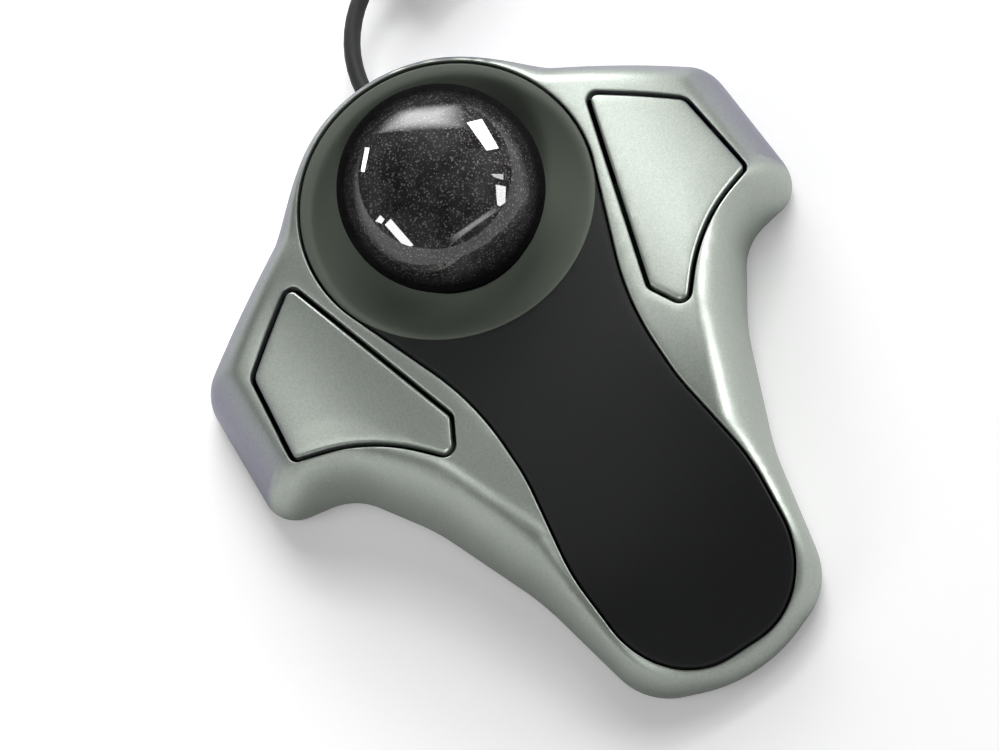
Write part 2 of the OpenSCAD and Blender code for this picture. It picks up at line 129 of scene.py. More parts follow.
RING_TURN = math.radians(20)
RING_TIP = PANEL_R * math.sqrt(2)
RING_OUT = (RING_TIP - PANEL_R / math.cos(RING_TURN)) / (1 + math.tan(RING_TURN))
WAIST_X = 17.1
WAIST_Y = (WAIST_X * math.cos(RING_TURN) - PANEL_R) / math.sin(RING_TURN)
PANEL = both_sides([
    [0, RING_TIP, PANEL_R], [RING_TIP - RING_OUT, RING_OUT, PANEL_R],
    [WAIST_X, WAIST_Y, 60], [WAIST_X - 0.1, -56, 45], [20, -75.5, 40], [18, -101.6, 16]])

HINGE_REAR = np.array([34.3, 3.8])
HINGE_FRONT = np.array([22.2, -38.0])
BUTTON = np.array([
    [*HINGE_REAR, 1.8], [50.2, -6.6, 2.5], [52.1, -25.3, 1.8],
    [36.8, -32.7, 46], [26.2, -45.6, 2], [*HINGE_FRONT, 2]])


def unit(v):
    return v / np.linalg.norm(v, axis=-1, keepdims=True)


def left_of(v):
    return np.stack([-v[..., 1], v[..., 0]], -1)


def grown(corners, g):
    """Corners moved outwards by g, with their radii changed to match."""
    p = corners[:, :2]
    before = unit(p - np.roll(p, 1, 0))
    after = unit(np.roll(p, -1, 0) - p)
    n1 = left_of(before)
    n2 = left_of(after)
    q = p + (n1 + n2) * g / (1 + (n1 * n2).sum(1, keepdims=True))
    turn = before[:, 0] * after[:, 1] - before[:, 1] * after[:, 0]
    return np.column_stack([q, corners[:, 2] + np.where(turn < 0, g, -g)])


def rounded(corners, chord=1.0, turn=8):
    """The outline's points: arcs at the corners and evenly filled straights. Neighbours are
    at most chord apart, and an arc turns at most turn degrees between two of them."""
    points = []
    p = corners[:, :2]
    for i in range(len(p)):
        a, b = p[i - 1], p[(i + 1) % len(p)]
        u, v = unit(a - p[i]), unit(b - p[i])
        half = math.acos(np.clip(u @ v, -1, 1)) / 2
        r = corners[i, 2]
        centre = p[i] + unit(u + v) * r / math.sin(half)
        start = p[i] + u * r / math.tan(half) - centre
        side = -1 if u[0] * v[1] - u[1] * v[0] > 0 else 1
        sweep = side * (math.pi - 2 * half)
        n = math.ceil(max(abs(sweep) / math.radians(turn), abs(sweep) * r / chord))
        for k in range(n + 1):
            c, s = math.cos(sweep * k / n), math.sin(sweep * k / n)
            points.append(centre + [start[0] * c - start[1] * s, start[0] * s + start[1] * c])
    filled = []
    for i, a in enumerate(points):
        b = points[(i + 1) % len(points)]
        n = math.ceil(np.linalg.norm(b - a) / chord - 0.01)
        filled += [a + (b - a) * k / n for k in range(n)]
    return np.array(filled)


def outward(loop):
    """Outward normals of a clockwise loop."""
    return unit(left_of(np.roll(loop, -1, 0) - np.roll(loop, 1, 0)))


def mirrored(loop):
    return (loop * [-1, 1])[::-1]


def distance(p, loop):
    """Distance from each point to a closed loop."""
    p = np.atleast_2d(p)
    e = np.roll(loop, -1, 0) - loop
    t = ((p[:, None] - loop) * e).sum(2) / (e * e).sum(1)
    near = loop + np.clip(t, 0, 1)[..., None] * e
    return np.linalg.norm(near - p[:, None], axis=2).min(1)


def inside(p, loop):
    """Whether each point lies inside a closed loop."""
    a, b = loop, np.roll(loop, -1, 0)
    x, y = p[:, None, 0], p[:, None, 1]
    spans = (a[:, 1] > y) != (b[:, 1] > y)
    rise = np.where(a[:, 1] == b[:, 1], 1, b[:, 1] - a[:, 1])
    return ((x < a[:, 0] + (b[:, 0] - a[:, 0]) * (y - a[:, 1]) / rise) & spans).sum(1) % 2 == 1


body_loop = rounded(BODY)
lining_loop = body_loop - outward(body_loop) * WALL
panel_loop = rounded(grown(PANEL, -PANEL_HALF_GAP))
opening_loop = rounded(grown(PANEL, PANEL_HALF_GAP))
button_opening = rounded(grown(BUTTON, HALF_GAP), chord=0.9, turn=12)
cap_loop = rounded(grown(BUTTON, -HALF_GAP), chord=0.9, turn=12)

# ---- heights


def crown(p):
    """The smooth surface that the shell, the panel and the buttons share."""
    x, y = p[..., 0], p[..., 1]
    rear = HUMP_Z - REAR_DROP * (np.maximum(y - HUMP_Y, 0) / REAR_RUN) ** 2
    tail = HUMP_Z - TAIL_DROP * (np.maximum(HUMP_Y - y, 0) / TAIL_RUN) ** TAIL_POWER
    return np.where(y > HUMP_Y, rear, tail) - (np.abs(x) / WING_RUN) ** WING_POWER


def roll(t):
    """A quarter circle from 0 at t = 0 to 1 at t = 1."""
    return np.sqrt(1 - (1 - np.minimum(1, t)) ** 2)


def skin(p):
    """The crown, rolled down over the shoulder to the lower edge. The shoulder narrows
    where it would run into the panel's opening or a button's."""
    margin = 0.6
    out = distance(p, body_loop)
    flat_from = distance(p, opening_loop)
    for button in (button_opening, mirrored(button_opening)):
        away = np.where(inside(p, button), 0, distance(p, button))
        flat_from = np.minimum(flat_from, away + margin)
    shoulder = np.minimum(SHOULDER_W, out + flat_from)
    return EDGE_Z + (crown(p) - EDGE_Z) * roll(out / shoulder)


def lining(p):
    """The inner side of the shell's wall."""
    out = distance(p, lining_loop)
    shoulder = np.minimum(SHOULDER_W - WALL, out + distance(p, opening_loop))
    return EDGE_Z + (crown(p) - WALL - EDGE_Z) * roll(out / shoulder)


def dish_edge(d):
    """Distance from the ball's axis to the dish's edge, in direction d."""
    along = d[..., 1] * DISH_Y
    return along + np.sqrt(along ** 2 - DISH_Y ** 2 + DISH_R ** 2)


def panel_top(p):
    """The crown with the dish sunk into it and a soft crease where they meet."""
    soft = 0.35
    reach = 4            # no trace of the dish is left this far past its edge
    radius = np.linalg.norm(p, axis=1)
    d = p / np.maximum(radius, 1e-6)[:, None]
    edge = dish_edge(d)
    rim = crown(d * edge[:, None])
    run = np.maximum(0, radius - HOLE_R) / (edge - HOLE_R)
    bowl = HOLE_Z + (rim - HOLE_Z) * run ** DISH_POWER
    plain = crown(p)
    both = (bowl + plain - np.sqrt((bowl - plain) ** 2 + soft ** 2)) / 2
    return np.where(radius > edge + reach, plain, both)


# ---- mesh building


class Solid:
    """Vertices and faces of one closed piece, in millimetres."""

    def __init__(self):
        self.points = []
        self.faces = []

    def add(self, points):
        first = len(self.points)
        self.points += [tuple(p) for p in points]
        return np.arange(first, len(self.points))

    def loop(self, flat, z):
        return self.add(np.column_stack([flat, np.broadcast_to(z, len(flat))]))

    def strip(self, a, b):
        """Quads between two loops with the same number of points."""
        for i in range(len(a)):
            j = (i + 1) % len(a)
            self.faces.append((a[i], a[j], b[j], b[i]))

    def strips(self, loops):
        for a, b in zip(loops, loops[1:]):
            self.strip(a, b)

    def fill(self, rim, holes, height, step=GRID):
        """Triangles over the area inside the rim loop and outside the hole loops."""
        flat = np.array([p[:2] for p in self.points])
        loops = [flat[rim]] + [flat[h] for h in holes]
        low, high = loops[0].min(0), loops[0].max(0)
        rows = np.arange(low[1], high[1], step * math.sqrt(3) / 2)
        grid = np.array([(x + (j % 2) * step / 2, y)
                         for j, y in enumerate(rows) for x in np.arange(low[0], high[0], step)])
        keep = inside(grid, loops[0])
        for h in loops[1:]:
            keep &= ~inside(grid, h)
        grid = grid[keep]
        clear = np.min([distance(grid, h) for h in loops], 0) > step * 0.5
        grid = grid[clear]
        index = np.concatenate([rim, *holes, self.loop(grid, height(grid))])
        flat = np.vstack(loops + [grid])
        edges = []
        start = 0
        for h in loops:
            n = len(h)
            edges += [(start + k, start + (k + 1) % n) for k in range(n)]
            start += n
        verts, _, tris, source, _, _ = delaunay_2d_cdt(
            [Vector(p) for p in flat], edges, [], 0, 1e-6)
        index = index[[s[0] for s in source]]
        tris = np.array(tris)
        middle = np.array([tuple(v) for v in verts])[tris].mean(1)
        keep = inside(middle, loops[0])
        for h in loops[1:]:
            keep &= ~inside(middle, h)
        self.faces += [tuple(index[t]) for t in tris[keep]]

    def tube(self, profile, place, axis="Z", sides=32):
        """A ring of revolution: profile holds (radius, height) round a closed section."""
        turns = 2 * math.pi * np.arange(sides) / sides
        loops = []
        for r, h in profile:
            x, y, z = r * np.cos(turns), r * np.sin(turns), np.full(sides, h)
            rings = {"Z": (x, y, z), "Y": (x, z, -y)}[axis]
            loops.append(self.add(np.column_stack(rings) + place))
        self.strips(loops + loops[:1])

    def rod(self, a, b, r, sides=24, bevel=0.0):
        """A round bar from a to b with closed ends."""
        a, b = np.array(a, float), np.array(b, float)
        d = unit(b - a)
        u = unit(np.cross(d, [0.3, 0.2, 1] if abs(d[2]) < 0.9 else [1, 0, 0]))
        v = np.cross(d, u)
        turns = 2 * math.pi * np.arange(sides) / sides
        ring = np.outer(np.cos(turns), u) + np.outer(np.sin(turns), v)
        stations = [(a, r - bevel), (a + d * bevel, r), (b - d * bevel, r), (b, r - bevel)]
        loops = [self.add(c + ring * s) for c, s in stations]
        self.strips(loops)
        self.faces.append(tuple(loops[0]))
        self.faces.append(tuple(loops[-1][::-1]))

    def block(self, low, high, turn=0.0, place=(0, 0, 0)):
        """A box, turned about Z and moved to its place."""
        c, s = math.cos(turn), math.sin(turn)
        corners = [(x, y, z) for z in (low[2], high[2])
                   for x, y in ((low[0], low[1]), (high[0], low[1]),
                                (high[0], high[1]), (low[0], high[1]))]
        k = self.add([(x * c - y * s + place[0], x * s + y * c + place[1], z + place[2])
                      for x, y, z in corners])
        self.faces += [tuple(k[:4]), tuple(k[4:])]
        self.strip(k[:4], k[4:])

    def mirror(self):
        self.points = [(-x, y, z) for x, y, z in self.points]

    def object(self, name, material, crease=40):
        mesh = bpy.data.meshes.new(name)
        mesh.from_pydata([[c * MM for c in p] for p in self.points], [],
                         [[int(i) for i in f] for f in self.faces])
        tidy = bmesh.new()
        tidy.from_mesh(mesh)
        bmesh.ops.recalc_face_normals(tidy, faces=tidy.faces)
        open_edges = sum(1 for e in tidy.edges if not e.is_manifold)
        tidy.to_mesh(mesh)
        tidy.free()
        if open_edges:
            print("open edges in", name, open_edges)
        mesh.shade_smooth()
        mesh.set_sharp_from_angle(angle=math.radians(crease))
        mesh.materials.append(material)
        obj = bpy.data.objects.new(name, mesh)
        bpy.context.scene.collection.objects.link(obj)
        return obj


def lip(solid, loop, height, r, into, steps=4):
    """Loops that round an edge off. They run from r beside the loop down to it."""
    n = outward(loop)
    loops = []
    for k in range(steps + 1):
        a = math.pi / 2 * k / steps
        beside = r * (1 - math.sin(a))
        p = loop + n * beside * into
        loops.append(solid.loop(p, height(p) - r * (1 - math.cos(a))))
    solid.strips(loops)
    return loops


# ---- materials


def material(name):
    m = bpy.data.materials.new(name)
    m.use_nodes = True
    return m, Nodes(m.node_tree)


class Nodes:
    """Short names for the shader nodes that the finishes are made of."""

    def __init__(self, tree):
        self.tree = tree
        self.shader = tree.nodes["Principled BSDF"]
        self.object = self.node("ShaderNodeTexCoord").outputs["Object"]

    def node(self, kind, **values):
        n = self.tree.nodes.new(kind)
        for key, value in values.items():
            self.put(n, key, value)
        return n

    def put(self, n, key, value):
        socket = n.inputs.get(key.replace("_", " "))
        if socket is None:
            setattr(n, key, value)
        elif isinstance(value, bpy.types.NodeSocket):
            self.tree.links.new(value, socket)
        else:
            socket.default_value = value

    def set(self, **values):
        for key, value in values.items():
            self.put(self.shader, key, value)

    def noise(self, scale, detail=3, rough=0.6):
        return self.node("ShaderNodeTexNoise", Vector=self.object, Scale=scale,
                         Detail=detail, Roughness=rough).outputs["Fac"]

    def specks(self, scale):
        """A random grey for each small cell."""
        cells = self.node("ShaderNodeTexVoronoi", Vector=self.object, Scale=scale)
        grey = self.node("ShaderNodeSeparateColor", Color=cells.outputs["Color"])
        return grey.outputs["Red"]

    def ramp(self, fac, *stops):
        n = self.node("ShaderNodeValToRGB", Fac=fac)
        while len(n.color_ramp.elements) < len(stops):
            n.color_ramp.elements.new(0.5)
        for e, (at, colour) in zip(n.color_ramp.elements, stops):
            e.position = at
            e.color = (*colour, 1)
        return n.outputs["Color"]

    def span(self, fac, low, high, start=0.0, end=1.0):
        """low..high as fac goes from start to end."""
        n = self.node("ShaderNodeMapRange", Value=fac)
        n.inputs["From Min"].default_value = start
        n.inputs["From Max"].default_value = end
        n.inputs["To Min"].default_value = low
        n.inputs["To Max"].default_value = high
        return n.outputs["Result"]

    def mix(self, fac, a, b):
        n = self.node("ShaderNodeMix", data_type="RGBA")
        for socket, value in ((n.inputs[0], fac), (n.inputs[6], a), (n.inputs[7], b)):
            if isinstance(value, bpy.types.NodeSocket):
                self.tree.links.new(value, socket)
            else:
                socket.default_value = value if np.isscalar(value) else (*value, 1)
        return n.outputs[2]

    def bump(self, height, strength, depth):
        """depth in millimetres."""
        n = self.node("ShaderNodeBump", Height=height, Strength=strength)
        n.inputs["Distance"].default_value = depth * MM
        self.tree.links.new(n.outputs["Normal"], self.shader.inputs["Normal"])

    def within(self, radius, centre):
        """1 inside an upright cylinder and 0 outside it."""
        level = self.node("ShaderNodeVectorMath", operation="MULTIPLY")
        self.tree.links.new(self.object, level.inputs[0])
        level.inputs[1].default_value = (1, 1, 0)
        away = self.node("ShaderNodeVectorMath", operation="DISTANCE")
        self.tree.links.new(level.outputs[0], away.inputs[0])
        away.inputs[1].default_value = centre
        return self.math("LESS_THAN", away.outputs["Value"], radius)

    def math(self, operation, a, b=0.0):
        n = self.node("ShaderNodeMath", operation=operation)
        for socket, value in zip(n.inputs, (a, b)):
            if isinstance(value, bpy.types.NodeSocket):
                self.tree.links.new(value, socket)
            else:
                socket.default_value = value
        return n.outputs[0]

    def both(self, a, b):
        return self.math("MULTIPLY", a, b)

    def either(self, a, b):
        return self.math("MAXIMUM", a, b)

    def place(self, axis, size=False):
        """The point's coordinate along an axis, in metres, or how far it is from 0."""
        at = self.node("ShaderNodeSeparateXYZ", Vector=self.object).outputs[axis]
        return self.math("ABSOLUTE", at) if size else at

    def facing(self, axis):
        """How far the surface faces along an axis, from -1 to 1."""
        n = self.node("ShaderNodeNewGeometry")
        return self.node("ShaderNodeSeparateXYZ", Vector=n.outputs["Normal"]).outputs[axis]


def silver_paint():
    """Metallic paint, warm green-grey. Where it rolls away at the rear and the sides it is
    painted a darker mauve, which is painted shade and painted reflection of the surroundings.
    What faces forwards and the flanks in front of the wings keep the lit grey."""
    m, n = material("silver_paint_finish")
    flakes = n.specks(5200)
    clouds = n.noise(35)
    top = n.mix(n.span(flakes, 0.0, 0.6), (0.43, 0.475, 0.43), (0.62, 0.665, 0.61))
    # painted shade and painted reflection: a darker mauve for surfaces that turn away from up
    side = n.mix(n.span(flakes, 0.0, 0.6), (0.24, 0.24, 0.31), (0.36, 0.36, 0.44))
    # where the painted shade goes: not on what faces up or forwards, nor on the flanks in front
    # of the wings
    up = n.span(n.facing("Z"), 0.0, 1.0, 0.40, 0.86)
    front = n.span(n.facing("Y"), 1.0, 0.0, -0.34, -0.08)
    flank = n.both(n.span(n.place("X", size=True), 1.0, 0.0, 0.034, 0.046),
                   n.span(n.place("Y"), 1.0, 0.0, -0.012, 0.004))
    grey = n.either(front, flank)
    n.set(Base_Color=n.mix(up, n.mix(grey, side, top), top), Metallic=0.85)
    n.set(Roughness=n.span(clouds, 0.37, 0.43), Coat_Weight=0.10, Coat_Roughness=0.25)
    n.bump(flakes, 0.20, 0.02)
    return m


def soft_touch():
    """Rubbery coating on the palm rest. The dish in it is painted lighter, as painted light for
    the light that the dish catches.
    """
    m, n = material("soft_touch_finish")
    grain = n.noise(2600, 2)
    clouds = n.noise(28, 4)
    rest = n.mix(clouds, (0.0070, 0.0082, 0.0080), (0.0125, 0.014, 0.013))
    # painted light: the dish gets a lighter colour than the rest of the same coating
    dish = n.mix(clouds, (0.100, 0.117, 0.094), (0.125, 0.145, 0.118))
    in_dish = n.within(LIT_DISH_R * MM, (0, LIT_DISH_Y * MM, 0))
    n.set(Base_Color=n.mix(in_dish, rest, dish))
    n.set(Roughness=n.span(grain, 0.42, 0.58), Specular_IOR_Level=0.30)
    n.set(Sheen_Weight=0.05, Sheen_Roughness=0.5)
    n.bump(grain, 0.65, 0.04)
    return m


def ball_resin():
    """Polished dark resin with fine pale specks under a clear surface. Towards the rim its colour
    is painted nearly black, as painted shade, and it mirrors less there."""
    m, n = material("ball_resin_finish")
    fine = n.ramp(n.specks(3800), (0.80, (0, 0, 0)), (1.0, (1, 1, 1)))
    patches = n.ramp(n.noise(160, 6), (0.38, (0, 0, 0)), (0.68, (1, 1, 1)))
    base = n.mix(patches, (0.022, 0.021, 0.022), (0.060, 0.058, 0.060))
    base = n.mix(fine, base, (0.22, 0.21, 0.21))
    rim = n.node("ShaderNodeLayerWeight", Blend=0.5).outputs["Facing"]
    # painted shade: the colour goes nearly black towards the rim
    base = n.mix(n.span(rim, 0.0, 0.95, 0.25, 0.65), base, (0.004, 0.004, 0.004))
    n.set(Base_Color=base, Roughness=0.5, Specular_IOR_Level=0.0)
    n.set(Coat_Weight=n.span(rim, 1.0, 0.0, 0.36, 0.47), Coat_IOR=1.75)
    n.set(Coat_Roughness=n.span(n.noise(60), 0.01, 0.035))
    n.bump(n.noise(300), 0.05, 0.01)
    return m


def moulded(name, colour, rough, grain=1500, depth=0.03, **more):
    """Moulded plastic or rubber with a fine spark-eroded texture."""
    m, n = material(name)
    texture = n.noise(grain, 3)
    clouds = n.noise(60, 3)
    pale = tuple(c * 1.3 + 0.002 for c in colour)
    n.set(Base_Color=n.mix(clouds, colour, pale), Roughness=n.span(texture, rough, rough + 0.18))
    n.set(**more)
    n.bump(texture, 0.35, depth)
    return m


def metal(name, colour, rough):
    """Bright metal with fine drawn marks and a little tarnish."""
    m, n = material(name)
    marks = n.noise(900, 4)
    n.set(Base_Color=n.mix(n.noise(150), colour, tuple(c * 0.8 for c in colour)))
    n.set(Metallic=1.0, Roughness=n.span(marks, rough, rough + 0.15))
    n.bump(marks, 0.12, 0.01)
    return m


def board_green():
    """Solder mask over faint copper tracks."""
    m, n = material("board_green_finish")
    tracks = n.node("ShaderNodeTexBrick", Vector=n.object, Scale=170.0)
    tracks.inputs["Mortar Size"].default_value = 0.012
    track = tracks.outputs["Fac"]
    n.set(Base_Color=n.mix(track, (0.012, 0.10, 0.035), (0.03, 0.19, 0.07)))
    n.set(Roughness=n.span(n.noise(400), 0.25, 0.38), Coat_Weight=0.3)
    n.bump(track, 0.3, 0.03)
    return m


def clear(name, colour):
    """Clear moulded plastic with flow marks."""
    m, n = material(name)
    flow = n.noise(80, 2)
    n.set(Base_Color=n.mix(flow, colour, tuple(c * 0.92 for c in colour)))
    n.set(Roughness=n.span(flow, 0.04, 0.1), Transmission_Weight=0.9, IOR=1.49)
    n.bump(flow, 0.08, 0.05)
    return m


FINISHES = {
    "silver_paint": silver_paint(),
    "soft_touch": soft_touch(),
    "ball_resin": ball_resin(),
    "black_plastic": moulded("black_plastic_finish", (0.014, 0.014, 0.014), 0.42),
    "foot_rubber": moulded("foot_rubber_finish", (0.012, 0.012, 0.012), 0.68, 900),
    "screw_steel": metal("screw_steel_finish", (0.42, 0.41, 0.39), 0.28),
    "bearing_steel": metal("bearing_steel_finish", (0.72, 0.72, 0.72), 0.08),
    "board_green": board_green(),
    "chip_black": moulded("chip_black_finish", (0.02, 0.02, 0.022), 0.5, 2200, 0.02),
    "clear_lens": clear("clear_lens_finish", (0.92, 0.95, 0.96)),
    "red_lens": clear("red_lens_finish", (0.75, 0.06, 0.04)),
    "orange_ceramic": moulded("orange_ceramic_finish", (0.55, 0.21, 0.04), 0.3, 700),
    "blue_sleeve": moulded("blue_sleeve_finish", (0.03, 0.05, 0.16), 0.25, 500, 0.01),
    "white_plastic": moulded("white_plastic_finish", (0.68, 0.67, 0.62), 0.38),
    "cable_jacket": moulded("cable_jacket_finish", (0.03, 0.031, 0.031), 0.42, 1300),
    "plug_steel": metal("plug_steel_finish", (0.62, 0.62, 0.62), 0.22),
}

for part in nodes.values():
    for place in part.material_slots:
        place.material = FINISHES[place.material.name.split(".")[0]]
    part.data.shade_smooth()
    part.data.set_sharp_from_angle(angle=math.radians(35))


def show(solid, name, finish, body, *stands_for):
    """Makes the solid's object, puts it on its body and hides the CAD nodes it stands for."""
    obj = solid.object(name, FINISHES[finish])
    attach(obj, body)
    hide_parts(*stands_for)


# ---- hinge and screw places

HINGE_DIR = unit(HINGE_REAR - HINGE_FRONT)
HINGE_START = HINGE_FRONT - left_of(HINGE_DIR) * HINGE_INSET
HINGE_TURN = math.atan2(HINGE_DIR[1], HINGE_DIR[0])
LUG_T = 3
LUG_HALF = 2.4
LUG_LOW = 2.3                              # from the hinge line down to a lug's end
LUGS = (1.8, 39.5)                         # places along the hinge line
BRACKET_HALF = 2.6
BRACKETS = ((-7.5, 28.6), (46, 23.2))      # place along the hinge line, top
TRUNNION_R = 1.5
STEM_R = 2.2                               # the button's stem over the switch
STEM_Z = 13.9
ROOT = 0.6                                 # lugs and stems run this far into the cap
BOSS_R = 2.6
BOSS_Z = 4.7
PILOT_R = 1.15
PILOT_DEPTH = 8
WING_SCREW = np.array([54.5, -12])
WING_BOSS_TOP = 13.2
REAR_SCREW = 27.8 * np.array([math.cos(math.radians(60)), math.sin(math.radians(60))])
REAR_BOSS_TOP = 18
PANEL_SCREWS = ((0, -50), (0, -86))


def on_hinge(along):
    return (*(HINGE_START + HINGE_DIR * along), HINGE_Z)


def boss(solid, p, top):
    """A screw boss with a blind pilot hole up from its lower end."""
    roof = 0.6
    hole_top = min(BOSS_Z + PILOT_DEPTH, top - roof)
    profile = [(PIN_R, top), (BOSS_R, top), (BOSS_R, BOSS_Z), (PILOT_R, BOSS_Z),
               (PILOT_R, hole_top), (PIN_R, hole_top)]
    solid.tube(profile, (*p, 0))


# ---- top shell

OPENINGS = [opening_loop, button_opening, mirrored(button_opening)]
ROLL_ROWS = 14
ROLL_REACH = 6.4         # the loops end this far in from the outline, or nearer
ROLL_ROOM = 0.6          # and they take at most this part of the way to an opening


def roll_loops(solid, outline, height, reach):
    """Loops from the lower edge up over the shoulder, close together where it is steep."""
    n = outward(outline)
    near = np.min([distance(outline, o) for o in OPENINGS], 0)
    room = np.minimum(reach, ROLL_ROOM * near)
    loops = []
    for k in range(ROLL_ROWS + 1):
        t = 1 - math.cos(math.pi / 2 * k / ROLL_ROWS)
        p = outline - n * (room * t)[:, None]
        loops.append(solid.loop(p, height(p) if k else EDGE_Z))
    solid.strips(loops)
    return loops


def top_shell():
    s = Solid()
    outer = roll_loops(s, body_loop, skin, ROLL_REACH)
    lips = [lip(s, o, skin, SHELL_LIP, 1) for o in OPENINGS]
    s.fill(outer[-1], [rounding[0] for rounding in lips], skin)
    inner = roll_loops(s, lining_loop, lining, ROLL_REACH - WALL)
    edges = [s.loop(o, lining(o)) for o in OPENINGS]
    s.fill(inner[-1], edges, lining, 2 * GRID)
    s.strip(outer[0], inner[0])
    for rounding, edge in zip(lips, edges):
        s.strip(rounding[-1], edge)
    for side in (1, -1):
        turn = HINGE_TURN if side > 0 else math.pi - HINGE_TURN
        flip = np.array([side, 1, 1])
        for along, top in BRACKETS:
            s.block((-LUG_T / 2, -BRACKET_HALF, -BRACKET_HALF),
                    (LUG_T / 2, BRACKET_HALF, top - HINGE_Z),
                    turn, np.array(on_hinge(along)) * flip)
        boss(s, WING_SCREW * flip[:2], WING_BOSS_TOP)
        boss(s, REAR_SCREW * flip[:2], REAR_BOSS_TOP)
    show(s, "shell_skin", "silver_paint", "housing", "top_shell")


def exit_collar():
    """The small ring on the rear wall that the cable leaves through."""
    s = Solid()
    inner, outer = 3.0, 3.9
    start, end = 33, 35.9
    bevel, inner_bevel = 0.5, 0.2
    profile = [(inner, start), (outer, start), (outer, end - bevel),
               (outer - 0.3 * bevel, end - 0.3 * bevel), (outer - bevel, end),
               (inner + inner_bevel, end), (inner, end - inner_bevel)]
    s.tube(profile, (0, 0, CABLE_Z), "Y", sides=48)
    obj = s.object("exit_collar", FINISHES["silver_paint"])
    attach(obj, "housing")


# ---- centre panel

BOWL_ROWS = 16
BOWL_SIDES = 200
BOWL_BEYOND = 1.2        # the bowl's loops start this far outside the dish's edge, or nearer
HOLE_EDGE = ((0.4, 0), (0.12, 0.03), (0.0, 0.25))    # rounding: outside the hole, down


def centre_panel():
    s = Solid()
    turns = -2 * math.pi * np.arange(BOWL_SIDES) / BOWL_SIDES
    d = np.column_stack([np.cos(turns), np.sin(turns)])
    edge = dish_edge(d)
    spare = distance(d * edge[:, None], panel_loop) - PANEL_LIP
    edge += np.minimum(BOWL_BEYOND, spare / 2)
    edges = lip(s, panel_loop, panel_top, PANEL_LIP, -1)
    bowl_end = HOLE_R + HOLE_EDGE[0][0]
    bowl = []
    for k in range(BOWL_ROWS + 1):
        p = d * (edge + (bowl_end - edge) * k / BOWL_ROWS)[:, None]
        bowl.append(s.loop(p, panel_top(p)))
    for beside, drop in HOLE_EDGE[1:]:
        p = d * (HOLE_R + beside)
        bowl.append(s.loop(p, panel_top(p) - drop))
    s.strips(bowl)
    s.fill(edges[0], [bowl[0]], panel_top)
    top_count = len(s.points)
    flat = np.array([p[:2] for p in s.points])
    s.add(np.column_stack([flat, panel_top(flat) - PANEL_T]))
    s.faces += [tuple(i + top_count for i in f[::-1]) for f in s.faces]
    s.strip(edges[-1], edges[-1] + top_count)
    s.strip(bowl[-1], bowl[-1] + top_count)
    for p in PANEL_SCREWS:
        boss(s, p, float(crown(np.array([p[0], p[1] - BOSS_R]))) - PANEL_T / 2)
    show(s, "panel_skin", "soft_touch", "housing", "centre_panel")


# ---- buttons


def button(name, side):
    """A cap with its lugs, trunnions and stem; side is 1 for the right and -1 for the left."""
    s = Solid()
    edges = lip(s, cap_loop, skin, CAP_LIP, -1)
    s.fill(edges[0], [], skin)
    top_count = len(s.points)
    flat = np.array([p[:2] for p in s.points])
    s.add(np.column_stack([flat, skin(flat) - WALL]))
    s.faces += [tuple(i + top_count for i in f[::-1]) for f in s.faces]
    s.strip(edges[-1], edges[-1] + top_count)
    for along in LUGS:
        place = on_hinge(along)
        top = float(skin(np.array([place[:2]]))[0]) - WALL + ROOT - HINGE_Z
        s.block((-LUG_T / 2, -LUG_HALF, -LUG_LOW), (LUG_T / 2, LUG_HALF, top),
                HINGE_TURN, place)
    s.rod(on_hinge(BRACKETS[0][0] - LUG_T / 2), on_hinge(LUGS[0]), TRUNNION_R, bevel=0.2)
    s.rod(on_hinge(LUGS[1]), on_hinge(BRACKETS[1][0] + LUG_T / 2), TRUNNION_R, bevel=0.2)
    stem_top = float(skin(SWITCH_AT[None])[0]) - WALL + ROOT
    s.rod((*SWITCH_AT, STEM_Z), (*SWITCH_AT, stem_top), STEM_R)
    if side < 0:
        s.mirror()
    show(s, name + "_cap", "silver_paint", name, name)


# ---- ball


def ball():
    mesh = bpy.data.meshes.new("ball_sphere")
    sphere = bmesh.new()
    bmesh.ops.create_icosphere(sphere, subdivisions=6, radius=BALL_R * MM,
                               matrix=Matrix.Translation((0, 0, BALL_Z * MM)))
    sphere.to_mesh(mesh)
    sphere.free()
    mesh.shade_smooth()
    mesh.materials.append(FINISHES["ball_resin"])
    obj = bpy.data.objects.new("ball_sphere", mesh)
    bpy.context.scene.collection.objects.link(obj)
    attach(obj, "trackball")
    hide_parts("ball")
    return obj


top_shell()
exit_collar()
centre_panel()
button("right_button", 1)
button("left_button", -1)
trackball = ball()

# ---- floor and light


def stage_floor():
    size = 3.0
    mesh = bpy.data.meshes.new("floor")
    mesh.from_pydata([(-size, -size, 0), (size, -size, 0), (size, size, 0), (-size, size, 0)],
                     [], [(0, 1, 2, 3)])
    m, n = material("floor_finish")
    n.set(Base_Color=n.mix(n.noise(3), (0.93, 0.93, 0.93), (0.96, 0.96, 0.96)), Roughness=0.9)
    to_camera = n.node("ShaderNodeLightPath").outputs["Is Camera Ray"]
    n.set(Emission_Color=(1, 1, 1, 1), Emission_Strength=n.span(to_camera, 0.0, FLOOR_GLOW))
    mesh.materials.append(m)
    floor = bpy.data.objects.new("floor", mesh)
    bpy.context.scene.collection.objects.link(floor)
    floor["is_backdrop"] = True
    return floor


# ---- camera: where the photographer stood

CAM_TURN = math.radians(-8)        # round the object, from straight in front
CAM_LIFT = math.radians(69.2)      # above the horizon
CAM_FAR = 0.650                    # metres from the ball's centre
CAM_ROLL = math.radians(33.05)     # how far the X axis points up from level
CAM_LENS = 122.38                  # millimetres, for a sensor 36 wide
CAM_SENSOR = 36
BALL_RIGHT = -11.28                # the ball's centre from the middle of the view
BALL_UP = 35.68


